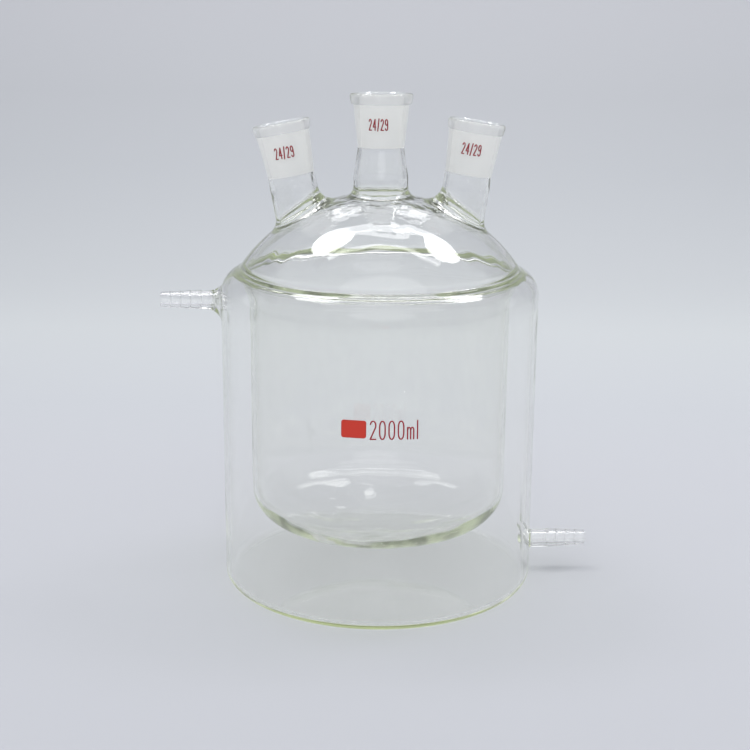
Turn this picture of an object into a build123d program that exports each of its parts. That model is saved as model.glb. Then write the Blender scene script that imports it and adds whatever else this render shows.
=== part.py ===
from build123d import *
import os
from math import asin, cos, hypot, radians, sin, sqrt

# Jacketed three neck reaction flask, blown and fused from borosilicate glass.
# Millimetres, +Z up. The origin is the centre of the foot, on the axis of the vessel.
# -X carries the upper hose barb, +X the lower one, and the three necks stand in the XZ plane.

os.makedirs("parts", exist_ok=True)

# ---------------------------------------------------------------- inner vessel
vessel_radius = 67.6  # inside of the straight wall
vessel_wall = 2.4
dish_radius = 177.6  # inside of the bowed bottom
knuckle_radius = 17.6  # inside, between the bottom and the wall

# ---------------------------------------------------------------- jacket
jacket_gap = 12.6  # between the vessel and the jacket
jacket_wall = 2.8
foot_thickness = 3.0
foot_gap = 23.0  # between the foot and the lowest point of the vessel
heel_radius = 6.0  # between the foot and the wall, outside
shoulder_start = 161.0  # height at which the jacket's wall turns inwards
shoulder_radius = 13.5

# ---------------------------------------------------------------- ring seal
flare_length = 14.0  # height over which the vessel opens towards the seal
flare_width = 5.7  # how far the seal stands out from the vessel, outside
flare_blend = 18.0
seal_glass = 3.3  # from the groove to the space inside
seal_blend = 5.0
seal_groove = 2.0  # rounding of the groove between shoulder and dome
seal_bead = 3.5  # rounding of the glass that closes the jacket from above

# ---------------------------------------------------------------- dome
dome_rise = 40.2  # from the groove to the top
dome_wall = 2.6

# ---------------------------------------------------------------- 24/29 ground sockets
socket_radius = 12.0  # at the wide end of the ground zone
socket_taper = 10.0  # the length in which the diameter falls by one millimetre
socket_length = 29.0
mouth_rounding = 0.9
waist_wall = 1.75  # glass around the narrow end
neck_wall = 2.0  # tube between the socket and the dome
waist_rounding = 4.0
rim_height = 5.4
rim_rounding = 1.5
rim_slope = 0.9  # how much narrower the rim is below than above
root_inside = 3.0  # rounding of the hole through the dome

# each neck: how far to the side and above the top of the dome the middle of its mouth is,
# the angle by which it leans outwards, its radii, the length over which its tube widens below
# the socket, and the rounding at its root
centre_neck = dict(side=0.0, rise=52.0, lean=0.0, rim=16.9, cone=14.8, tube=14.6, opening=15.0, root=6.0)
left_neck = dict(side=-52.8, rise=36.6, lean=-11.0, rim=15.6, cone=14.2, tube=12.6, opening=5.0, root=8.5)
right_neck = dict(side=50.4, rise=38.0, lean=8.5, rim=15.6, cone=14.2, tube=12.6, opening=5.0, root=8.5)
necks = [centre_neck, left_neck, right_neck]

# ---------------------------------------------------------------- hose barbs
barb_bore = 2.8  # radius
barb_plain = 11.5  # from the wall of the jacket to the first tooth
barb_root_radius = 5.0
barb_tip_radius = 3.9  # in the last groove
tooth_count = 4
tooth_pitch = 5.4
tooth_height = 0.55
tooth_rounding = 0.3
upper_barb_drop = 5.5  # below the height at which the wall turns inwards
lower_barb_rise = 17.0  # above the underside of the foot
barb_reach = barb_plain + tooth_count * tooth_pitch

# ---------------------------------------------------------------- fired enamel mark
mark_width = 12.5  # along the wall
mark_height = 9.1
mark_corner = 1.3
mark_thickness = 0.12
mark_turn = -98.25  # direction from the axis, where -90 is the front
mark_z = 108.5
mark_lean = -0.5  # how far it is turned in its own face

# ---------------------------------------------------------------- places that follow
jacket_radius = vessel_radius + vessel_wall + jacket_gap + jacket_wall
vessel_floor = foot_thickness + foot_gap + vessel_wall
seal_radius = vessel_radius + vessel_wall + flare_width
seal_reach = max(seal_radius - jacket_radius + shoulder_radius, 0)
seal_z = shoulder_start + sqrt(shoulder_radius**2 - seal_reach**2)
dome_radius = (seal_radius**2 + dome_rise**2) / (2 * dome_rise)
dome_top = seal_z + dome_rise
dome_centre = dome_top - dome_radius
inner_dome = dome_radius - dome_wall
inner_seal_radius = seal_radius - seal_glass
inner_seal_z = dome_centre + sqrt(inner_dome**2 - inner_seal_radius**2)
flare_start = inner_seal_z - flare_length
upper_barb = dict(z=shoulder_start - upper_barb_drop, turn=180.0, flare=9.0, funnel=7.0)
lower_barb = dict(z=lower_barb_rise, turn=4.5, flare=3.0, funnel=2.0)
barbs = [upper_barb, lower_barb]


def turned(section):
    """A solid turned about the vertical axis from a section with x >= 0."""
    return revolve(Plane.XZ * section, Axis.Z)


def corners_near(section, *places):
    """The corners of a section that lie at these places."""
    return [min(section.vertices(), key=lambda v: hypot(v.X - x, v.Y - y)) for x, y in places]


def cap(radius, low):
    """Half section of the dome above a height."""
    disc = Pos(0, dome_centre) * Circle(radius)
    keep = Pos(0, low) * Rectangle(radius, radius * 2, align=(Align.MIN, Align.MIN))
    return disc & keep


def glass_outline():
    """Section of the whole flask without its necks and barbs, filled."""
    crown = shoulder_start + shoulder_radius
    body = Rectangle(jacket_radius, crown, align=(Align.MIN, Align.MIN))
    body = fillet(corners_near(body, (jacket_radius, 0)), heel_radius)
    body = fillet(corners_near(body, (jacket_radius, crown)), shoulder_radius)
    whole = body + cap(dome_radius, shoulder_start)
    return fillet(corners_near(whole, (seal_radius, seal_z)), seal_groove)


def vessel_space():
    """Section of the space inside the vessel, with a sharp corner where the flare meets the dome."""
    edge_z = vessel_floor + dish_radius - sqrt(dish_radius**2 - vessel_radius**2)
    half = asin(vessel_radius / dish_radius) / 2
    middle = (dish_radius * sin(half), vessel_floor + dish_radius * (1 - cos(half)))
    outline = Curve() + [
        ThreePointArc((0, vessel_floor), middle, (vessel_radius, edge_z)),
        Polyline((vessel_radius, edge_z), (vessel_radius, flare_start), (inner_seal_radius, inner_seal_z)),
        Polyline((inner_seal_radius, inner_seal_z), (0, inner_seal_z), (0, vessel_floor)),
    ]
    space = make_face(outline) + cap(inner_dome, inner_seal_z)
    space = fillet(corners_near(space, (vessel_radius, edge_z)), knuckle_radius)
    return fillet(corners_near(space, (vessel_radius, flare_start)), flare_blend)


def jacket_space(vessel):
    """Section of the space between the vessel and the jacket."""
    radius, crown = jacket_radius - jacket_wall, shoulder_start + shoulder_radius - jacket_wall
    room = Pos(0, foot_thickness) * Rectangle(
        radius, crown - foot_thickness, align=(Align.MIN, Align.MIN)
    )
    room = fillet(corners_near(room, (radius, foot_thickness)), heel_radius - jacket_wall)
    room = fillet(corners_near(room, (radius, crown)), shoulder_radius - jacket_wall)
    room -= offset(vessel, vessel_wall, kind=Kind.ARC)
    highest = max(room.vertices(), key=lambda v: v.Y)
    return fillet(highest, seal_bead)


def neck_frame(neck):
    """Plane at the mouth of a neck, with its normal along the neck's axis."""
    lean = radians(neck["lean"])
    mouth = (neck["side"], 0, dome_top + neck["rise"])
    return Plane(mouth, x_dir=(cos(lean), 0, -sin(lean)), z_dir=(sin(lean), 0, cos(lean)))


def neck_depth(neck):
    """Length from the mouth to a place well below the skin of the dome."""
    lean = radians(neck["lean"])
    rise = dome_radius + neck["rise"]
    along = neck["side"] * sin(lean) + rise * cos(lean)
    across = neck["side"] * cos(lean) - rise * sin(lean)
    return along - sqrt(dome_radius**2 - across**2) + neck["tube"]


def neck_solid(neck):
    """Outside of a neck: rim, cone, waist and tube."""
    waist = socket_radius - socket_length / socket_taper / 2 + waist_wall
    depth, opened = neck_depth(neck), socket_length + neck["opening"]
    section = make_face(
        Polyline(
            (0, 0),
            (neck["rim"], 0),
            (neck["rim"] - rim_slope, -rim_height),
            (neck["cone"], -rim_height),
            (waist, -socket_length),
            (neck["tube"], -opened),
            (neck["tube"], -depth),
            (0, -depth),
            close=True,
        )
    )
    section = fillet(corners_near(section, (neck["rim"], 0)), rim_rounding)
    bends = corners_near(section, (waist, -socket_length), (neck["tube"], -opened))
    section = fillet(bends, waist_rounding)
    return neck_frame(neck) * revolve(Plane.XZ * section, Axis.Z)


def neck_space(neck):
    """Space inside a neck: rounded mouth, ground taper and tube."""
    narrow = socket_radius - socket_length / socket_taper / 2
    depth, opened = neck_depth(neck), socket_length + neck["opening"]
    tube = neck["tube"] - neck_wall
    section = make_face(
        Polyline(
            (0, 1),
            (socket_radius + mouth_rounding, 1),
            (socket_radius + mouth_rounding, 0),
            (socket_radius, -mouth_rounding),
            (narrow, -socket_length),
            (tube, -opened),
            (tube, -depth),
            (0, -depth),
            close=True,
        )
    )
    bends = corners_near(section, (narrow, -socket_length), (tube, -opened))
    section = fillet(bends, waist_rounding / 2)
    return neck_frame(neck) * revolve(Plane.XZ * section, Axis.Z)


def barb_frame(barb):
    """Plane on the flask's axis at the height of a barb, with its normal along the barb."""
    turn = radians(barb["turn"])
    return Plane((0, 0, barb["z"]), x_dir=(-sin(turn), cos(turn), 0), z_dir=(cos(turn), sin(turn), 0))


def barb_solid(barb):
    """Outside of a hose barb: a plain root and a row of teeth that widen towards it."""
    start = jacket_radius - jacket_wall / 2
    ridged = jacket_radius + barb_plain
    points = [(0, start), (barb_root_radius, start), (barb_root_radius, ridged)]
    for i in range(tooth_count):
        foot = ridged + i * tooth_pitch
        share = (i + 1) / tooth_count
        groove = barb_root_radius + (barb_tip_radius - barb_root_radius) * share
        points += [(groove + tooth_height, foot + tooth_rounding), (groove, foot + tooth_pitch)]
    section = make_face(Polyline(*points, (0, jacket_radius + barb_reach), close=True))
    return barb_frame(barb) * revolve(Plane.XZ * section, Axis.Z)


def barb_space(barb):
    """Bore of a hose barb, from inside the jacket to past its tip."""
    start = jacket_radius - 2 * jacket_wall
    rod = Cylinder(barb_bore, barb_reach + 3 * jacket_wall, align=(Align.CENTER, Align.CENTER, Align.MIN))
    return barb_frame(barb) * Pos(0, 0, start) * rod


def joined(body, addition, rounding):
    """Fuses an addition to a body and rounds the seam between them."""
    both = body + addition
    return fillet(new_edges(body, addition, combined=both), rounding)


def flask():
    vessel = vessel_space()
    seal = max(vessel.vertices(), key=lambda v: v.X)
    glass = turned(glass_outline())
    inside = turned(fillet(seal, seal_blend))
    between = turned(jacket_space(vessel))
    for neck in necks:
        glass = joined(glass, neck_solid(neck), neck["root"])
        inside = joined(inside, neck_space(neck), root_inside)
    for barb in barbs:
        glass = joined(glass, barb_solid(barb), barb["flare"])
        between = joined(between, barb_space(barb), barb["funnel"])
    return glass - inside - between


def enamel_mark():
    """Rounded block of fired enamel that lies on the wall of the jacket."""
    turn = radians(mark_turn)
    face = Plane((0, 0, mark_z), x_dir=(-sin(turn), cos(turn), 0), z_dir=(cos(turn), sin(turn), 0))
    outline = Rot(0, 0, mark_lean) * RectangleRounded(mark_width, mark_height, mark_corner)
    blank = extrude(outline, jacket_radius * 2)
    ring = Cylinder(jacket_radius + mark_thickness, mark_height * 2) - Cylinder(jacket_radius, mark_height * 2)
    return (face * blank) & (Pos(0, 0, mark_z) * ring)


export_step(flask(), "parts/flask.step")
export_step(enamel_mark(), "parts/capacity_mark.step")
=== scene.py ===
from math import atan2, ceil, cos, degrees, hypot, pi, radians, sin, sqrt, tan

import bmesh
import bpy
from mathutils import Matrix, Vector
from mathutils.bvhtree import BVHTree


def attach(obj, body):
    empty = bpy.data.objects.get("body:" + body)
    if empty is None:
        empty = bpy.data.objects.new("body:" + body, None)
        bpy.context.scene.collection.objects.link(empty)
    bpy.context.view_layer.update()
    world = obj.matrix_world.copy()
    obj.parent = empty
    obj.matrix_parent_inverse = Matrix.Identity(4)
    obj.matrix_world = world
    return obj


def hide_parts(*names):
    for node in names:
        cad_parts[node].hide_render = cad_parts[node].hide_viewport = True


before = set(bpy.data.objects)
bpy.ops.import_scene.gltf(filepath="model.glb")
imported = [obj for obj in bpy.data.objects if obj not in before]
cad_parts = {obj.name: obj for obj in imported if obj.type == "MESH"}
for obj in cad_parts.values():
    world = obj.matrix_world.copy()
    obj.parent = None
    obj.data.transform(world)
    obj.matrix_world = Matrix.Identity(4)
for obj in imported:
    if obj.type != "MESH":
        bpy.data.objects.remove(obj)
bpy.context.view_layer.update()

# A jacketed three neck flask of clear glass. Shapes are worked out in millimetres and go into
# the scene in metres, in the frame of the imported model: Z up, the foot's centre at the origin.
mm = 0.001


# camera

cameraView = {
    "place": (0.0, -0.7308, 0.3034),
    "tilt": 75.48,                     # degrees from straight down
    "roll": 0.51,
    "lens": 65.95,
    "shift": -0.0054,
}


def makeCamera():
    data = bpy.data.cameras.new("camera")
    data.lens = cameraView["lens"]
    data.sensor_width = 36.0
    data.shift_x = cameraView["shift"]
    camera = bpy.data.objects.new("camera", data)
    tilt = Matrix.Rotation(radians(cameraView["tilt"]), 4, "X")
    roll = Matrix.Rotation(radians(cameraView["roll"]), 4, "Z")
    camera.matrix_world = Matrix.Translation(cameraView["place"]) @ tilt @ roll
    bpy.context.collection.objects.link(camera)
    bpy.context.scene.camera = camera


makeCamera()
print("camera set")


# shader sums

class Socket:
    def __init__(self, tree, output):
        self.tree = tree
        self.output = output

    def sum(self, operation, first, second):
        return self.tree.pick(operation, first, second)

    def __add__(self, other):
        return self.sum("ADD", self, other)

    def __radd__(self, other):
        return self.sum("ADD", other, self)

    def __sub__(self, other):
        return self.sum("SUBTRACT", self, other)

    def __rsub__(self, other):
        return self.sum("SUBTRACT", other, self)

    def __mul__(self, other):
        return self.sum("MULTIPLY", self, other)

    def __rmul__(self, other):
        return self.sum("MULTIPLY", other, self)

    def __truediv__(self, other):
        return self.sum("DIVIDE", self, other)

    def __rtruediv__(self, other):
        return self.sum("DIVIDE", other, self)


class Shading:
    def __init__(self, name):
        self.material = bpy.data.materials.new(name)
        self.material.use_nodes = True
        self.nodes = self.material.node_tree.nodes
        self.links = self.material.node_tree.links
        self.nodes.clear()

    def add(self, kind, settings=None, sockets=None, output=0):
        node = self.nodes.new(kind)
        for name, value in (settings or {}).items():
            if name == "stops":
                self.setStops(node.color_ramp, value)
            else:
                setattr(node, name, value)
        for name, value in (sockets or {}).items():
            if isinstance(value, Socket):
                self.links.new(value.output, node.inputs[name])
            else:
                node.inputs[name].default_value = value
        return Socket(self, node.outputs[output]) if len(node.outputs) else node

    def pick(self, operation, first, second=0.0):
        return self.add("ShaderNodeMath", {"operation": operation}, {0: first, 1: second})

    def mix(self, factor, first, second, blend="MIX"):
        settings = {"data_type": "RGBA", "blend_type": blend}
        return self.add("ShaderNodeMix", settings, {0: factor, 6: first, 7: second}, output=2)

    def setStops(self, ramp, stops):
        while len(ramp.elements) < len(stops):
            ramp.elements.new(1.0)
        for element, (place, colour) in zip(ramp.elements, stops):
            element.position = place
            element.color = colour

    def objectPlace(self):
        return self.add("ShaderNodeTexCoord", output="Object")

    def axes(self):
        parts = self.add("ShaderNodeSeparateXYZ", sockets={0: self.objectPlace()}).output.node
        return [Socket(self, parts.outputs[name]) for name in "XYZ"]

    def noise(self, scale, detail=2.0):
        sockets = {"Scale": scale, "Detail": detail, "Vector": self.objectPlace()}
        return self.add("ShaderNodeTexNoise", sockets=sockets)

    def finish(self, surface, volume=None):
        sockets = {"Surface": surface}
        if volume:
            sockets["Volume"] = volume
        self.add("ShaderNodeOutputMaterial", sockets=sockets)
        return self.material


# outlines, as (distance from the axis, height)

def arc(centre, radius, start, end, step=5.0):
    count = max(2, ceil(abs(end - start) / step))
    turns = [radians(start + (end - start) * i / count) for i in range(count + 1)]
    return [(centre[0] + radius * cos(a), centre[1] + radius * sin(a)) for a in turns]


def line(start, end, step):
    count = max(1, ceil(hypot(end[0] - start[0], end[1] - start[1]) / step))
    shares = [i / count for i in range(count + 1)]
    return [(start[0] + (end[0] - start[0]) * s, start[1] + (end[1] - start[1]) * s) for s in shares]


def circlesMeet(first, firstRadius, second, secondRadius):
    gap = Vector(second) - Vector(first)
    along = (gap.length_squared + firstRadius**2 - secondRadius**2) / (2 * gap.length)
    aside = sqrt(firstRadius**2 - along**2)
    unit = gap.normalized()
    return Vector(first) + unit * along + Vector((unit.y, -unit.x)) * aside


def lineMeetsCircle(start, direction, centre, radius):
    offset = Vector(start) - Vector(centre)
    back = offset.dot(direction)
    return Vector(start) + direction * (-back + sqrt(back**2 - offset.length_squared + radius**2))


def turnTo(start, end):
    return degrees(atan2(end[1] - start[1], end[0] - start[0]))


def joinOutline(*parts):
    outline = []
    for part in parts:
        for point in part:
            if not outline or hypot(point[0] - outline[-1][0], point[1] - outline[-1][1]) > 0.02:
                outline.append(tuple(point))
    return outline


# glass

flask = {
    "vesselRadius": 67.6,              # inside
    "vesselWall": 2.4,
    "dishRadius": 177.6,
    "knuckleRadius": 17.6,
    "jacketGap": 12.6,
    "jacketWall": 2.8,
    "footThickness": 3.0,
    "footGap": 23.0,
    "heelRadius": 6.0,
    "shoulderStart": 161.0,
    "shoulderRadius": 13.5,
    "flareLength": 14.0,
    "flareWidth": 5.7,
    "flareBlend": 18.0,
    "sealGlass": 3.3,
    "sealBlend": 5.0,
    "sealGroove": 2.0,
    "sealBead": 3.5,
    "domeRise": 40.2,
    "domeWall": 2.6,
    "around": 192,                     # faces round the flask
    "fine": 2.6,                       # height of a face where something is welded on
    "guard": 0.3,
}

jacketRadius = flask["vesselRadius"] + flask["vesselWall"] + flask["jacketGap"] + flask["jacketWall"]
vesselFloor = flask["footThickness"] + flask["footGap"] + flask["vesselWall"]
shoulderCentre = (jacketRadius - flask["shoulderRadius"], flask["shoulderStart"])
sealRadius = flask["vesselRadius"] + flask["vesselWall"] + flask["flareWidth"]
sealHeight = shoulderCentre[1] + sqrt(flask["shoulderRadius"] ** 2 - (sealRadius - shoulderCentre[0]) ** 2)
domeRadius = (sealRadius**2 + flask["domeRise"] ** 2) / (2 * flask["domeRise"])
domeTop = sealHeight + flask["domeRise"]
domeCentre = (0.0, domeTop - domeRadius)
innerDome = domeRadius - flask["domeWall"]
innerSeal = sealRadius - flask["sealGlass"]
innerSealHeight = domeCentre[1] + sqrt(innerDome**2 - innerSeal**2)
flareStart = innerSealHeight - flask["flareLength"]
flareWay = Vector((innerSeal - flask["vesselRadius"], flask["flareLength"])).normalized()
flareSide = Vector((flareWay.y, -flareWay.x))
flareTurn = turnTo((0, 0), flareSide)  # the way that the flare's outer face looks
flareCorner = Vector((flask["vesselRadius"], flareStart))
flareRun = flask["flareBlend"] * tan(radians(-flareTurn) / 2)
flareCentre = (flask["vesselRadius"] + flask["flareBlend"], flareStart - flareRun)
dishCentre = (0.0, vesselFloor + flask["dishRadius"])
knuckleSide = flask["vesselRadius"] - flask["knuckleRadius"]
knuckleSwing = flask["dishRadius"] - flask["knuckleRadius"]
knuckleCentre = (knuckleSide, dishCentre[1] - sqrt(knuckleSwing**2 - knuckleSide**2))
knuckleTurn = turnTo(dishCentre, knuckleCentre)

centreNeck = {
    "side": 0.0, "rise": 52.0, "lean": 0.0, "rim": 16.9,
    "cone": 14.8, "tube": 14.6, "opening": 15.0, "root": 6.0,
}
leftNeck = {
    "side": -52.8, "rise": 36.6, "lean": -11.0, "rim": 15.6,
    "cone": 14.2, "tube": 12.6, "opening": 5.0, "root": 8.5,
}
rightNeck = {
    "side": 50.4, "rise": 38.0, "lean": 8.5, "rim": 15.6,
    "cone": 14.2, "tube": 12.6, "opening": 5.0, "root": 8.5,
}
necks = [centreNeck, leftNeck, rightNeck]

socket = {
    "radius": 12.0,
    "narrow": 10.55,
    "length": 29.0,
    "mouth": 0.9,
    "rimHeight": 5.4,
    "rimSlope": 0.9,
    "rimRounding": 1.5,
    "waistWall": 1.75,
    "tubeWall": 2.0,
    "waistRounding": 4.0,
    "rootInside": 3.0,
    "frost": (1.3, 27.9),              # depths between which the inside is ground
    "bead": 5.6,                       # the ground face shows less behind the bead
    "around": 96,
}

barb = {
    "bore": 2.8,
    "plain": 11.5,
    "root": 5.0,
    "tip": 3.9,
    "teeth": 4,
    "pitch": 5.4,
    "height": 0.55,
    "crest": 0.3,
    "around": 48,
}

upperBarb = {"height": flask["shoulderStart"] - 5.5, "turn": 180.0, "flare": 9.0, "funnel": 7.0}
lowerBarb = {"height": 17.0, "turn": 4.5, "flare": 3.0, "funnel": 2.0}
barbs = [upperBarb, lowerBarb]


def wallOutline(radius, low, high):
    zones = [low]
    for where in barbs:
        reach = barb["root"] + where["flare"] + flask["fine"]
        zones += [where["height"] - reach, where["height"] + reach]
    zones = sorted(min(max(z, low), high) for z in zones) + [high]
    parts = []
    for i, (start, end) in enumerate(zip(zones, zones[1:])):
        step = flask["fine"] if i % 2 else 40.0
        parts.append(line((radius, start), (radius, end), step))
    return joinOutline(*parts)


def footOutline(height, radius):
    return [(0, height), (radius / 3, height), (radius * 2 / 3, height), (radius - 1, height)]


def outerOutline():
    heel = flask["heelRadius"]
    groove = flask["sealGroove"]
    ball = circlesMeet(shoulderCentre, flask["shoulderRadius"] + groove, domeCentre, domeRadius + groove)
    if ball.y < shoulderCentre[1]:
        ball = circlesMeet(domeCentre, domeRadius + groove, shoulderCentre, flask["shoulderRadius"] + groove)
    toShoulder = turnTo(ball, shoulderCentre)
    toDome = turnTo(ball, domeCentre)
    return joinOutline(
        footOutline(0, jacketRadius - heel),
        arc((jacketRadius - heel, heel), heel, -90, 0),
        wallOutline(jacketRadius, heel + 1, flask["shoulderStart"] - 1),
        arc(shoulderCentre, flask["shoulderRadius"], 0, toShoulder + 180, 4),
        arc(ball, groove, toShoulder + 360, toDome + 360, 12),
        arc(domeCentre, domeRadius, toDome + 180, 90, 1.5),
    )


def vesselOutline():
    blend = flask["sealBlend"]
    start = flareCorner - flareSide * blend
    ball = lineMeetsCircle(start, flareWay, domeCentre, innerDome - blend)
    low = knuckleCentre[1]
    return joinOutline(
        arc(dishCentre, flask["dishRadius"], -90, knuckleTurn, 1),
        arc(knuckleCentre, flask["knuckleRadius"], knuckleTurn, 0, 5),
        line((flask["vesselRadius"], low + 1), (flask["vesselRadius"], flareCentre[1] - 1), 40),
        arc(flareCentre, flask["flareBlend"], 180, 180 + flareTurn, 4),
        arc(ball, blend, flareTurn, turnTo(domeCentre, ball), 6),
        arc(domeCentre, innerDome, turnTo(domeCentre, ball), 90, 1.5),
    )


def jacketOutline():
    wall, bead = flask["jacketWall"], flask["sealBead"]
    heel, shoulder = flask["heelRadius"] - wall, flask["shoulderRadius"] - wall
    radius, low = jacketRadius - wall, flask["footThickness"]
    start = flareCorner + flareSide * (flask["vesselWall"] + bead)
    ball = lineMeetsCircle(start, flareWay, shoulderCentre, shoulder - bead)
    grown = flask["vesselWall"]
    outside = flask["vesselRadius"] + grown
    return joinOutline(
        footOutline(low, radius - heel),
        arc((radius - heel, low + heel), heel, -90, 0, 8),
        wallOutline(radius, low + heel + 1, flask["shoulderStart"] - 1),
        arc(shoulderCentre, shoulder, 0, turnTo(shoulderCentre, ball), 5),
        arc(ball, bead, turnTo(shoulderCentre, ball), 180 + flareTurn, 10),
        arc(flareCentre, flask["flareBlend"] - grown, 180 + flareTurn, 180, 4),
        line((outside, flareCentre[1] - 1), (outside, knuckleCentre[1] + 1), 40),
        arc(knuckleCentre, flask["knuckleRadius"] + grown, 0, knuckleTurn, 5),
        arc(dishCentre, flask["dishRadius"] + grown, knuckleTurn, -90, 1),
    )


def spinOutline(outline, around):
    bm = bmesh.new()
    verts = [bm.verts.new((r, 0, z)) for r, z in outline]
    for first, second in zip(verts, verts[1:]):
        bm.edges.new((first, second))
    roundSpin(bm, around)
    return bm


def roundSpin(bm, around):
    geometry = bm.verts[:] + bm.edges[:]
    bmesh.ops.spin(
        bm, geom=geometry, cent=(0, 0, 0), axis=(0, 0, 1), dvec=(0, 0, 0),
        angle=2 * pi, steps=around, use_merge=True, use_duplicate=False,
    )
    bmesh.ops.remove_doubles(bm, verts=bm.verts[:], dist=0.0005)


def guarded(points):
    guard = flask["guard"]             # a narrow ring beside each rounding keeps the straight wall true
    spread = [points[0]]
    for before, corner, after in zip(points, points[1:], points[2:]):
        back, ahead = Vector(before[:2]) - Vector(corner[:2]), Vector(after[:2]) - Vector(corner[:2])
        run = corner[2] * tan((pi - back.angle(ahead)) / 2) + guard
        if corner[2] and back.length > 2 * run:
            spread.append((*(Vector(corner[:2]) + back.normalized() * run), 0))
        spread.append(corner)
        if corner[2] and ahead.length > 2 * run:
            spread.append((*(Vector(corner[:2]) + ahead.normalized() * run), 0))
    return spread + [points[-1]]


def roundedWire(points):
    bm = bmesh.new()
    verts = [bm.verts.new((r, 0, z)) for r, z, rounding in points]
    for first, second in zip(verts, verts[1:]):
        bm.edges.new((first, second))
    for i in range(1, len(points) - 1):
        if points[i][2]:
            before = Vector(points[i][:2]) - Vector(points[i - 1][:2])
            turn = before.angle(Vector(points[i + 1][:2]) - Vector(points[i][:2]))
            bmesh.ops.bevel(
                bm, geom=[verts[i]], offset=points[i][2] * tan(turn / 2), offset_type="OFFSET",
                affect="VERTICES", segments=max(2, ceil(degrees(turn) / 12)), profile=0.5, material=-1,
            )
    return bm


weldSteps = 10                         # faces across a rounded weld
weldGap = 0.05                         # how close the rings lie before they are moved into place


def weldRings(tree, place, radius, ball, start, around):
    rings = []                         # a ball rolled round the tube on the skin leaves the weld's shape
    guard = flask["guard"]
    inward = place.to_3x3() @ Vector((0, 0, -1))
    for i in range(around):
        turn = 2 * pi * i / around
        side = place.to_3x3() @ Vector((cos(turn), sin(turn), 0))
        centre = place @ Vector((0, 0, start)) + side * (radius + ball)
        gap = 2 * ball
        while gap - ball > 0.0002:
            touch, normal, face, gap = tree.find_nearest(centre)
            centre += inward * (gap - ball)
        last = (touch - centre).normalized()
        onward = (side + last * last.dot(-side)).normalized()
        beyond = tree.find_nearest(touch + onward * guard)[0]
        bend = [centre + (-side).slerp(last, k / weldSteps) * ball for k in range(weldSteps + 1)]
        rings.append([bend[0] - inward * guard] + bend + [beyond])
    return rings


def layRings(bm, rings, radius, level, place):
    inverse = place.inverted()
    around = len(rings)
    for vert in bm.verts:
        k = round((level - vert.co.z) / weldGap)
        if 0 <= k < len(rings[0]) and abs(hypot(vert.co.x, vert.co.y) - radius) < 0.01:
            if abs(level - k * weldGap - vert.co.z) < weldGap / 4:
                i = round(atan2(vert.co.y, vert.co.x) / (2 * pi) * around) % around
                vert.co = inverse @ rings[i][k]


def insideLoop(point, loop, fine):
    turns, low, high = loop
    if low - 4 < point.z < high + 4:
        turn = atan2(point.y, point.x)
        nearest = min(turns, key=lambda t: abs((t[0] - turn + pi) % (2 * pi) - pi))
        return hypot(point.x, point.y) < nearest[1] + fine
    return False


def openSkin(bm, welds, axis):
    known = {edge for edge in bm.edges if edge.is_boundary}
    fine = flask["fine"] / 3
    inside = set()
    for loop, place in welds:
        inverse = place.inverted()
        flat = [inverse @ point for point in loop]
        heights = [p.z for p in flat]
        shape = ([(atan2(p.y, p.x), hypot(p.x, p.y)) for p in flat], min(heights), max(heights))
        inside.update(vert for vert in bm.verts if insideLoop(inverse @ vert.co, shape, fine))
    bmesh.ops.delete(bm, geom=list(inside), context="VERTS")
    loose = [vert for vert in bm.verts if not vert.link_faces]
    bmesh.ops.delete(bm, geom=loose, context="VERTS")
    edges = [edge for edge in bm.edges if edge.is_boundary and edge not in known]
    for loop, place in welds:
        verts = [bm.verts.new(point) for point in loop]
        edges += [bm.edges.new((first, second)) for first, second in zip(verts, verts[1:] + verts[:1])]
    bmesh.ops.triangle_fill(bm, edges=edges, normal=axis, use_beauty=True, use_dissolve=False)


def weldTube(outer, inner, place, points, outerBall, innerBall, start, around):
    (innerRadius, innerLow, flat), (outerRadius, outerLow, flat) = points[0], points[-1]
    outerRings = weldRings(outer["tree"], place, outerRadius, outerBall, start, around)
    innerRings = weldRings(inner["tree"], place, innerRadius, innerBall, start, around)
    count = len(outerRings[0])
    innerLevel, outerLevel = innerLow - 2 * weldGap, outerLow - 2 * weldGap
    innerEnd = [(innerRadius, innerLevel - k * weldGap, 0) for k in range(count)]
    outerEnd = [(outerRadius, outerLevel - k * weldGap, 0) for k in range(count)]
    tube = roundedWire(innerEnd[::-1] + guarded(points) + outerEnd)
    roundSpin(tube, around)
    layRings(tube, innerRings, innerRadius, innerLevel, place)
    layRings(tube, outerRings, outerRadius, outerLevel, place)
    bmesh.ops.transform(tube, matrix=place, verts=tube.verts[:])
    outerWeld = ([ring[-1] for ring in outerRings], place)
    innerWeld = ([ring[-1] for ring in innerRings], place)
    return tube, outerWeld, innerWeld


def neckPlace(neck):
    lean = Matrix.Rotation(radians(neck["lean"]), 4, "Y")
    return Matrix.Translation((neck["side"], 0, domeTop + neck["rise"])) @ lean


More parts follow.
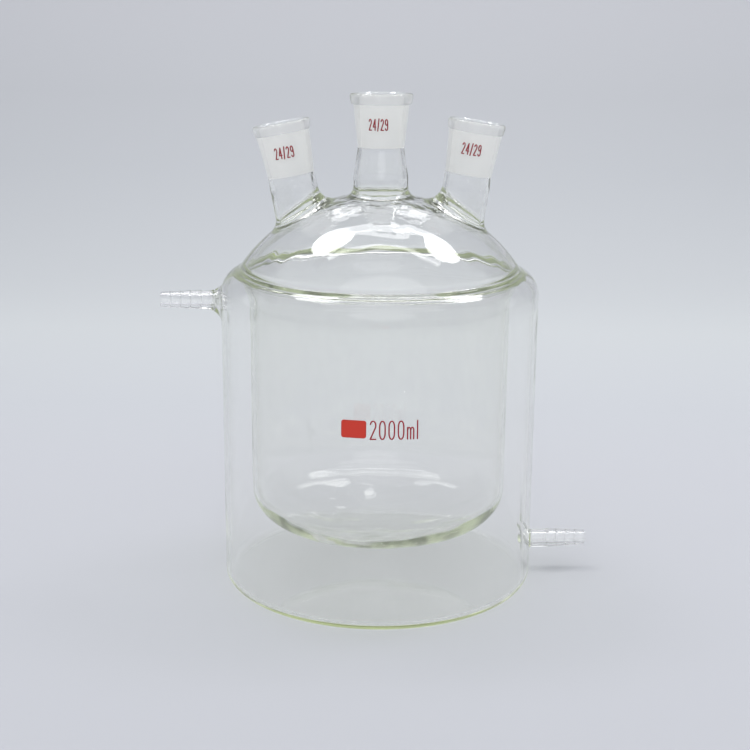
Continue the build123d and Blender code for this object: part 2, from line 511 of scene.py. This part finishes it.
def neckPoints(neck):
    tube, inside = neck["tube"], neck["tube"] - socket["tubeWall"]
    length, opened = socket["length"], socket["length"] + neck["opening"]
    taper = (socket["radius"] - socket["narrow"]) / length
    waist = socket["narrow"] + socket["waistWall"]
    rimFoot = neck["rim"] - socket["rimSlope"]
    ledge = (rimFoot - neck["cone"]) * 0.35
    mouth, rounding = socket["mouth"], socket["waistRounding"]
    frost = []                         # rings where the ground face starts and ends
    start, end = socket["frost"]
    for depth in (end + 0.2, end, socket["bead"] + 0.2, socket["bead"], start):
        frost.append((socket["radius"] - depth * taper, -depth, 0))
    return [
        (inside, -opened - 0.4, 0),
        (inside, -opened, rounding / 2),
        (socket["narrow"], -length, rounding / 2),
        *frost,
        (socket["radius"], -mouth, mouth / 2),
        (socket["radius"] + mouth, 0, mouth / 2),
        (neck["rim"], 0, socket["rimRounding"]),
        (rimFoot, -socket["rimHeight"], ledge),
        (neck["cone"], -socket["rimHeight"], ledge),
        (waist, -length, rounding),
        (tube, -opened, rounding),
        (tube, -opened - 0.4, 0),
    ]


def barbPlace(where):
    turn = Matrix.Rotation(radians(where["turn"]), 4, "Z")
    return Matrix.Translation((0, 0, where["height"])) @ turn @ Matrix.Rotation(pi / 2, 4, "Y")


def barbPoints():
    ridged = jacketRadius + barb["plain"]
    tip = ridged + barb["teeth"] * barb["pitch"]
    points = [(barb["bore"], ridged + 2, 0), (barb["bore"], tip, barb["crest"])]
    for i in reversed(range(barb["teeth"])):
        foot = ridged + i * barb["pitch"]
        groove = barb["root"] + (barb["tip"] - barb["root"]) * (i + 1) / barb["teeth"]
        points.append((groove, foot + barb["pitch"], barb["crest"]))
        points.append((groove + barb["height"], foot + barb["crest"], barb["crest"]))
    return points + [(barb["root"], ridged, barb["crest"]), (barb["root"], ridged - 0.8, 0)]


def makeSkin(outline):
    mesh = spinOutline(outline, flask["around"])
    return {"mesh": mesh, "tree": BVHTree.FromBMesh(mesh)}


def joinMeshes(parts):
    whole = bmesh.new()
    for part in parts:
        mesh = bpy.data.meshes.new("part")
        part.to_mesh(mesh)
        whole.from_mesh(mesh)
        bpy.data.meshes.remove(mesh)
        part.free()
    return whole


def markGround(bm):
    ground = bm.verts.layers.float.new("ground")
    for neck in necks:
        inverse = neckPlace(neck).inverted()
        for vert in bm.verts:
            p = inverse @ vert.co
            inside = hypot(p.x, p.y) < socket["radius"] + 0.02
            if inside and socket["frost"][0] - 0.1 < -p.z < socket["frost"][1] + 0.1:
                vert[ground] = 1.0 if -p.z > socket["bead"] + 0.1 else 0.3


def between(value, low, high):         # 0 below low, 1 above high
    return min(1.0, max(0.0, (value - low) / (high - low)))


vesselReach = flask["vesselRadius"] + flask["vesselWall"] + 1


def markWaves(bm):                     # where the glass was blown and worked by hand
    wave = bm.verts.layers.float.new("wave")
    wrinkle = bm.verts.layers.float.new("wrinkle")
    for vert in bm.verts:
        height, reach = vert.co.z, hypot(vert.co.x, vert.co.y)
        vessel = between(50 - height, 0, 12) * between(height, 8, 12) if reach < vesselReach else 0
        vert[wave] = max(0.04, 0.8 * vessel, 0.6 * between(height, 155, 170))
        vert[wrinkle] = between(height, 198, 208) * between(234 - height, 0, 10)


def makeObject(name, bm, material):
    mesh = bpy.data.meshes.new(name)
    bmesh.ops.scale(bm, vec=(mm, mm, mm), verts=bm.verts[:])
    bm.to_mesh(mesh)
    bm.free()
    for face in mesh.polygons:
        face.use_smooth = True
    mesh.materials.append(material)
    piece = bpy.data.objects.new(name, mesh)
    bpy.context.collection.objects.link(piece)
    return piece


def makeFlask(material):
    outer, vessel, jacket = makeSkin(outerOutline()), makeSkin(vesselOutline()), makeSkin(jacketOutline())
    neckWelds = [weldTube(
        outer, vessel, neckPlace(neck), neckPoints(neck), neck["root"], socket["rootInside"],
        -socket["length"], socket["around"],
    ) for neck in necks]
    barbWelds = [weldTube(
        outer, jacket, barbPlace(where), barbPoints(), where["flare"], where["funnel"],
        jacketRadius + 2 * barb["plain"], barb["around"],
    ) for where in barbs]
    up = Vector((0, 0, 1))
    openSkin(outer["mesh"], [weld[1] for weld in neckWelds], up)
    openSkin(vessel["mesh"], [weld[2] for weld in neckWelds], up)
    for tube, outerWeld, innerWeld in barbWelds:
        axis = outerWeld[1].to_3x3() @ up
        openSkin(outer["mesh"], [outerWeld], axis)
        openSkin(jacket["mesh"], [innerWeld], axis)
    tubes = [weld[0] for weld in neckWelds + barbWelds]
    whole = joinMeshes([outer["mesh"], vessel["mesh"], jacket["mesh"]] + tubes)
    bmesh.ops.remove_doubles(whole, verts=whole.verts[:], dist=0.002)
    bmesh.ops.recalc_face_normals(whole, faces=whole.faces[:])
    markGround(whole)
    markWaves(whole)
    loose = [edge for edge in whole.edges if not edge.is_manifold]
    print("flask", len(whole.faces), "faces,", len(loose), "open edges")
    return makeObject("glass_body", whole, material)


# glass material

glassLook = {
    "ior": 1.47,
    "tint": (0.98, 1.0, 0.86, 1.0),
    "density": 20.0,
    "deepest": 11.5,                   # turns of light that are followed
    "mirrored": 3.5,                   # reflections that are followed
    "groundWhite": (0.97, 0.96, 0.94, 1.0),
    "through": (0.99, 0.99, 0.987, 1.0),  # lamplight that gets through a level face
    "wallThrough": (0.935, 0.94, 0.935, 1.0),
    "barbThrough": (0.84, 0.845, 0.84, 1.0),
    "paintedGlow": [                          # painted light and shade: an emitted colour, set by four times the height, stands where light is no longer followed, giving dark olive lines, darker still at the necks, and pale green bands at the heel and the vessel's floor
        (0.0, (0.20, 0.22, 0.15, 1.0)),
        (0.008, (0.24, 0.27, 0.18, 1.0)),
        (0.014, (0.62, 0.68, 0.49, 1.0)),
        (0.024, (0.55, 0.61, 0.44, 1.0)),
        (0.034, (0.28, 0.315, 0.23, 1.0)),
        (0.088, (0.28, 0.315, 0.23, 1.0)),
        (0.096, (0.62, 0.68, 0.51, 1.0)),
        (0.12, (0.60, 0.66, 0.50, 1.0)),
        (0.15, (0.28, 0.315, 0.23, 1.0)),
        (0.80, (0.28, 0.315, 0.23, 1.0)),
        (0.86, (0.13, 0.14, 0.115, 1.0)),
    ],
    # painted shade: dark grey lines at the barbs' roots, emitted in place of the painted glow
    "barbPaintedShade": (0.13, 0.14, 0.125, 1.0),
    # painted light and shade: noise makes the emitted colour streaky, lighter and darker
    "paintedStreaks": [(0.38, (0.6, 0.6, 0.6, 1.0)), (0.62, (1.6, 1.6, 1.6, 1.0))],
    "wave": 0.0015,                    # height of the waves in blown glass, in metres
    "waveScale": 38.0,
    "wrinkleScale": 160.0,
    "wrinkleShare": 0.22,
    "paintedStreakScale": 75.0,
    "groundRoughness": 0.6,
    "barbShadow": 0.0865,              # metres from the middle, beyond which a shadow is a barb's
    "barbBlend": (0.081, 0.0855),      # and between which the painted glow turns into a barb's painted dark shade
}


def glassMaterial():
    shade = Shading("clearGlass")
    aside, _, height = shade.axes()
    outward = shade.pick("ABSOLUTE", aside)
    wave = shade.add("ShaderNodeAttribute", {"attribute_name": "wave"}, output="Fac")
    wrinkle = shade.add("ShaderNodeAttribute", {"attribute_name": "wrinkle"}, output="Fac")
    swell = shade.noise(glassLook["waveScale"], 1.0) * wave
    swell = swell + shade.noise(glassLook["wrinkleScale"], 1.0) * wrinkle * glassLook["wrinkleShare"]
    wavy = shade.add("ShaderNodeBump", sockets={
        "Height": swell, "Strength": 1.0, "Distance": glassLook["wave"],
    })
    clear = shade.add("ShaderNodeBsdfPrincipled", sockets={
        "Base Color": (1.0, 1.0, 1.0, 1.0), "Roughness": 0.0, "IOR": glassLook["ior"],
        "Transmission Weight": 1.0, "Normal": wavy,
    })
    white = shade.add("ShaderNodeBsdfTranslucent", sockets={"Color": glassLook["groundWhite"]})
    milky = shade.add("ShaderNodeBsdfDiffuse", sockets={"Color": glassLook["groundWhite"]})
    frost = shade.add("ShaderNodeMixShader", sockets={0: 0.5, 1: white, 2: milky})
    rough = shade.add("ShaderNodeBsdfPrincipled", sockets={
        "Base Color": (1.0, 1.0, 1.0, 1.0), "Roughness": glassLook["groundRoughness"],
        "IOR": glassLook["ior"], "Transmission Weight": 1.0,
    })
    ground = shade.add("ShaderNodeMixShader", sockets={0: 0.25, 1: frost, 2: rough})
    mask = shade.add("ShaderNodeAttribute", {"attribute_name": "ground"}, output="Fac")
    surface = shade.add("ShaderNodeMixShader", sockets={0: mask, 1: clear, 2: ground})
    level = shade.add("ShaderNodeBsdfTransparent", sockets={"Color": glassLook["through"]})
    steep = shade.add("ShaderNodeBsdfTransparent", sockets={"Color": glassLook["wallThrough"]})
    normal = shade.add("ShaderNodeNewGeometry", output="Normal")
    upward = shade.add("ShaderNodeSeparateXYZ", sockets={0: normal}, output="Z")
    slab = shade.add("ShaderNodeMixShader", sockets={0: shade.pick("ABSOLUTE", upward), 1: steep, 2: level})
    onBarb = shade.pick("GREATER_THAN", outward, glassLook["barbShadow"])
    small = shade.add("ShaderNodeBsdfTransparent", sockets={"Color": glassLook["barbThrough"]})
    passOn = shade.add("ShaderNodeMixShader", sockets={0: onBarb, 1: slab, 2: small})
    shadowRay = shade.add("ShaderNodeLightPath", output="Is Shadow Ray")
    softRay = shade.add("ShaderNodeLightPath", output="Is Diffuse Ray")
    straight = shade.add("ShaderNodeMath", {"use_clamp": True}, {0: shadowRay, 1: softRay})
    passing = shade.add("ShaderNodeMixShader", sockets={0: straight, 1: surface, 2: passOn})
    # painted light and shade: past these depths the glass gives off a colour set by height in place of the
    # light it would pass on
    depth = shade.add("ShaderNodeLightPath", output="Ray Depth")
    paintedGlowColour = shade.add("ShaderNodeValToRGB", {"stops": glassLook["paintedGlow"]}, {0: height * 4.0})
    paintedStreaks = shade.add("ShaderNodeValToRGB", {"stops": glassLook["paintedStreaks"]}, {
        0: shade.noise(glassLook["paintedStreakScale"]),
    })
    paintedStreaked = shade.mix(1.0, paintedGlowColour, paintedStreaks, "MULTIPLY")
    near, far = glassLook["barbBlend"]
    nearBarb = shade.add("ShaderNodeMapRange", {"clamp": True}, {0: outward, 1: near, 2: far})
    paintedGlowColour = shade.mix(nearBarb, paintedStreaked, glassLook["barbPaintedShade"])
    paintedGlow = shade.add("ShaderNodeEmission", sockets={"Color": paintedGlowColour, "Strength": 1.0})
    mirrored = shade.add("ShaderNodeLightPath", output="Glossy Depth")
    tooDeep = shade.pick("GREATER_THAN", depth, glassLook["deepest"])
    tooOften = shade.pick("GREATER_THAN", mirrored, glassLook["mirrored"])
    lost = shade.pick("MAXIMUM", tooDeep, tooOften)
    whole = shade.add("ShaderNodeMixShader", sockets={0: lost, 1: passing, 2: paintedGlow})
    tint = shade.add("ShaderNodeVolumeAbsorption", sockets={
        "Color": glassLook["tint"], "Density": glassLook["density"],
    })
    return shade.finish(whole, tint)


flaskPiece = makeFlask(glassMaterial())
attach(flaskPiece, "root")
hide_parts("flask")
print("flask made")


# red enamel

enamelLook = {
    "mark": (0.66, 0.036, 0.016, 1.0),
    "rim": (0.50, 0.03, 0.022, 1.0),
    "volume": (0.36, 0.012, 0.022, 1.0),
    "cone": (0.32, 0.006, 0.016, 1.0),
}

markBox = {"x": -12.26, "z": 108.5, "halfWidth": 6.19, "halfHeight": 4.55, "rim": 0.45}


def enamelMaterial(name, colour, rim=None):
    shade = Shading(name)
    cloud = shade.noise(700.0)
    if rim:
        x, _, z = shade.axes()
        across = shade.pick("ABSOLUTE", x - markBox["x"] * mm) - (markBox["halfWidth"] - markBox["rim"]) * mm
        upward = shade.pick("ABSOLUTE", z - markBox["z"] * mm) - (markBox["halfHeight"] - markBox["rim"]) * mm
        edge = shade.pick("MAXIMUM", across, upward) / (markBox["rim"] * mm) + cloud * 0.3
    else:
        edge = cloud * 0.6
    tone = shade.add("ShaderNodeValToRGB", {"stops": [(0.25, colour), (0.75, rim or colour)]}, {0: edge})
    grain = shade.noise(2600.0)
    bump = shade.add("ShaderNodeBump", sockets={"Height": grain, "Strength": 0.15, "Distance": 0.00005})
    surface = shade.add("ShaderNodeBsdfPrincipled", sockets={
        "Base Color": tone, "Roughness": cloud * 0.25 + 0.3, "IOR": 1.5, "Normal": bump,
    })
    return shade.finish(surface)


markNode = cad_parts["capacity_mark"]
markNode.data.materials.clear()
markNode.data.materials.append(enamelMaterial("redEnamel", enamelLook["mark"], enamelLook["rim"]))


def bow(centre, radii, start, end, steps=9):
    turns = [radians(start + (end - start) * i / steps) for i in range(steps + 1)]
    return [(centre[0] + radii[0] * cos(t), centre[1] + radii[1] * sin(t)) for t in turns]


def strokesOf(letter, w, h):           # the middle lines of one letter's strokes
    half, top = w / 2, h * 0.24
    if letter == "0":
        side = h * 0.33
        upper, lower = (half, h - side), (half, side)
        return [bow(upper, (half, side), 0, 180) + bow(lower, (half, side), 180, 360) + [(w, h - side)]]
    if letter == "2":
        return [bow((half, h - top), (half, top), 165, -35) + [(0, 0)], [(0, 0), (w, 0)]]
    if letter == "4":
        return [[(w * 0.74, 0), (w * 0.74, h)], [(w * 0.74, h), (0, h * 0.3)], [(0, h * 0.3), (w, h * 0.3)]]
    if letter == "9":
        low = h * 0.26
        return [
            bow((half, h - low), (half, low), 0, 360, 16),
            [(w, h - low)] + bow((half, top * 0.9), (half, top * 0.9), 0, -160),
        ]
    if letter == "m":
        arch = h * 0.25
        first = bow((w / 4, h - arch), (w / 4, arch), 180, 0)
        second = bow((w * 3 / 4, h - arch), (w / 4, arch), 180, 0)
        return [[(0, 0), (0, h)], first + [(half, 0)], second + [(w, 0)]]
    if letter == "l":
        return [[(0, 0), (0, h)]]
    return [[(0, -h * 0.06), (w, h * 1.06)]]


def spaced(points, step):
    close = [points[0]]
    for start, end in zip(points, points[1:]):
        close += line(start, end, step)[1:]
    return close


def layStroke(bm, points, half, lay):
    points = [Vector(p) for p in spaced(points, half * 1.6)]
    ahead, back = (points[-1] - points[-2]).normalized(), (points[0] - points[1]).normalized()
    reach = [(0.5, 0.87), (0.87, 0.5)]  # how the ends are rounded
    widths = [w for d, w in reversed(reach)] + [1] * len(points) + [w for d, w in reach]
    points = [points[0] + back * half * d for d, w in reversed(reach)] + points
    points += [points[-1] + ahead * half * d for d, w in reach]
    sections = []
    for i, (point, width) in enumerate(zip(points, widths)):
        way = (points[min(i + 1, len(points) - 1)] - points[max(i - 1, 0)]).normalized()
        side = Vector((-way.y, way.x)) * half * width
        corners = [(point - side, 0), (point + side, 0), (point + side, 1), (point - side, 1)]
        sections.append([bm.verts.new(lay(p.x, p.y, lift)) for p, lift in corners])
    for first, second in zip(sections, sections[1:]):
        for i in range(4):
            bm.faces.new((first[i], first[(i + 1) % 4], second[(i + 1) % 4], second[i]))
    bm.faces.new(sections[0])
    bm.faces.new(sections[-1])


def makePrint(name, text, size, enamel, lay):
    bm = bmesh.new()
    half = size["stroke"] / 2
    place = -sum(size["widths"][c] + size["space"] for c in text) / 2 + size["space"] / 2
    for letter in text:
        width = size["widths"][letter]
        height = size["height"] * (0.66 if letter == "m" else 1)
        for points in strokesOf(letter, width - 2 * half, height - 2 * half):
            moved = [(x + place + half, y + half - size["height"] / 2) for x, y in points]
            layStroke(bm, moved, half, lay)
        place += width + size["space"]
    bmesh.ops.recalc_face_normals(bm, faces=bm.faces[:])
    piece = makeObject(name, bm, enamel)
    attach(piece, "root")


def onJacket(turn, height):
    def lay(x, y, lift):
        radius = jacketRadius - 0.03 + lift * printDepth
        angle = radians(turn) + x / jacketRadius
        return Vector((radius * cos(angle), radius * sin(angle), height + y))
    return lay


def onNeck(neck, turn, depth):
    place = neckPlace(neck)
    waist = socket["narrow"] + socket["waistWall"]
    slope = (neck["cone"] - waist) / (socket["length"] - socket["rimHeight"])

    def lay(x, y, lift):
        radius = neck["cone"] - slope * (depth - y - socket["rimHeight"])
        angle = radians(turn) + x / radius
        radius += 0.03 + lift * printDepth
        return place @ Vector((radius * cos(angle), radius * sin(angle), y - depth))
    return lay


printDepth = 0.05                      # thickness of the enamel
coneEnamel = enamelMaterial("crimsonEnamel", enamelLook["cone"])
volumeSize = {
    "height": 10.0, "stroke": 0.72, "space": 1.2,
    "widths": {"2": 3.4, "0": 3.4, "m": 3.8, "l": 0.8},
}
coneSize = {
    "height": 6.1, "stroke": 0.6, "space": 0.42,
    "widths": {"2": 1.8, "4": 1.95, "/": 1.3, "9": 1.8},
}
volumeEnamel = enamelMaterial("scarletEnamel", enamelLook["volume"])
makePrint("volume_print", "2000ml", volumeSize, volumeEnamel, onJacket(-84.84, 108.2))
conePrints = [                         # the direction that each faces, and its depth below the mouth
    ("centre_print", centreNeck, -96.5, 15.5),
    ("left_print", leftNeck, -91.3, 15.0),
    ("right_print", rightNeck, -96.8, 14.0),
]
for name, neck, turn, depth in conePrints:
    makePrint(name, "24/29", coneSize, coneEnamel, onNeck(neck, turn, depth))
print("prints made")


# stage

stageLook = {"width": 9.0, "front": -6.0, "back": 2.2, "height": 4.5, "sweep": 1.4, "below": 0.0003}

paperColourAndPaintedLight = [                         # how far back, in metres, and the paper's colour there, made lighter and darker along the paper as painted light and shade
    (0.18, (0.480, 0.486, 0.515, 1.0)),
    (0.34, (0.480, 0.492, 0.517, 1.0)),
    (0.62, (0.510, 0.526, 0.538, 1.0)),
    (1.30, (0.480, 0.492, 0.513, 1.0)),
    (1.50, (0.490, 0.498, 0.52, 1.0)),
    (1.72, (0.545, 0.548, 0.573, 1.0)),
]


def makeStage():
    bm = bmesh.new()
    sweep, below = stageLook["sweep"], stageLook["below"]
    points = [(stageLook["front"], -below), (0.0, -below)]
    points += arc((stageLook["back"] - sweep, sweep - below), sweep, -90, 0, 4)
    points.append((stageLook["back"], stageLook["height"]))
    half = stageLook["width"] / 2
    verts = [bm.verts.new((-half, y, z)) for y, z in points]
    edges = [bm.edges.new(pair) for pair in zip(verts, verts[1:])]
    new = bmesh.ops.extrude_edge_only(bm, edges=edges)["geom"]
    moved = [item for item in new if isinstance(item, bmesh.types.BMVert)]
    bmesh.ops.translate(bm, vec=(2 * half, 0, 0), verts=moved)
    mesh = bpy.data.meshes.new("backdrop")
    bm.to_mesh(mesh)
    for face in mesh.polygons:
        face.use_smooth = True
    shade = Shading("backdropPaper")
    # the paper's colour with painted light and shade: lighter and darker bands by how far back it lies
    back = shade.add("ShaderNodeSeparateXYZ", sockets={0: shade.objectPlace()}, output="Y") * 0.5
    tone = shade.add("ShaderNodeValToRGB", {"stops": [(y / 2, c) for y, c in paperColourAndPaintedLight]}, {0: back})
    surface = shade.add("ShaderNodeBsdfPrincipled", sockets={
        "Base Color": tone, "Roughness": 0.7, "Specular IOR Level": 0.2,
    })
    mesh.materials.append(shade.finish(surface))
    backdrop = bpy.data.objects.new("backdrop", mesh)
    bpy.context.collection.objects.link(backdrop)


makeStage()
print("paper laid")


# light

lamps = {
    "leftBox": {"place": (-0.62, 0.4, 1.55), "aim": (-0.62, 0.4, 0), "size": (0.62, 0.5), "power": 6.4},
    "rightBox": {"place": (0.86, 0.4, 1.55), "aim": (0.86, 0.4, 0), "size": (0.62, 0.5), "power": 7.4},
    "backBar": {"place": (0.1, 0.52, 1.55), "aim": (0.1, 0.52, 0), "size": (1.3, 0.22), "power": 4.5},
    "frontBar": {"place": (0.1, 0.02, 1.55), "aim": (0.1, 0.02, 0), "size": (1.6, 0.1), "power": 2.2},
    "leftRear": {"place": (-0.3, 1.05, 1.2), "aim": (0, 0, 0.15), "size": (0.42, 0.34), "power": 0.8},
    "rightRear": {"place": (0.26, 1.05, 1.2), "aim": (0, 0, 0.15), "size": (0.42, 0.34), "power": 0.8},
    "nearBox": {"place": (0.1, -0.8, 1.5), "aim": (0.1, 0, 0.15), "size": (2.2, 0.6), "power": 3.0},
    "frontFill": {"place": (0.1, -2.3, 1.3), "aim": (0, 0, 0.15), "size": (2.0, 2.0), "power": 8.0},
}


def makeLamp(name, lamp):
    data = bpy.data.lights.new(name, "AREA")
    data.shape = "RECTANGLE" if "Bar" in name else "ELLIPSE"
    data.size, data.size_y = lamp["size"]
    data.energy = lamp["power"]
    light = bpy.data.objects.new(name, data)
    light.location = lamp["place"]
    away = Vector(lamp["place"]) - Vector(lamp["aim"])
    light.rotation_euler = away.to_track_quat("Z", "Y").to_euler()
    bpy.context.collection.objects.link(light)


for name, lamp in lamps.items():
    makeLamp(name, lamp)

roomLook = {"colour": (0.88, 0.91, 0.96, 1.0), "strength": 0.775}
world = bpy.data.worlds.new("room")
world.use_nodes = True
room = world.node_tree.nodes["Background"].inputs
room["Color"].default_value = roomLook["colour"]
room["Strength"].default_value = roomLook["strength"]
bpy.context.scene.world = world
bpy.context.scene.view_settings.view_transform = "Standard"
print("lamps hung")
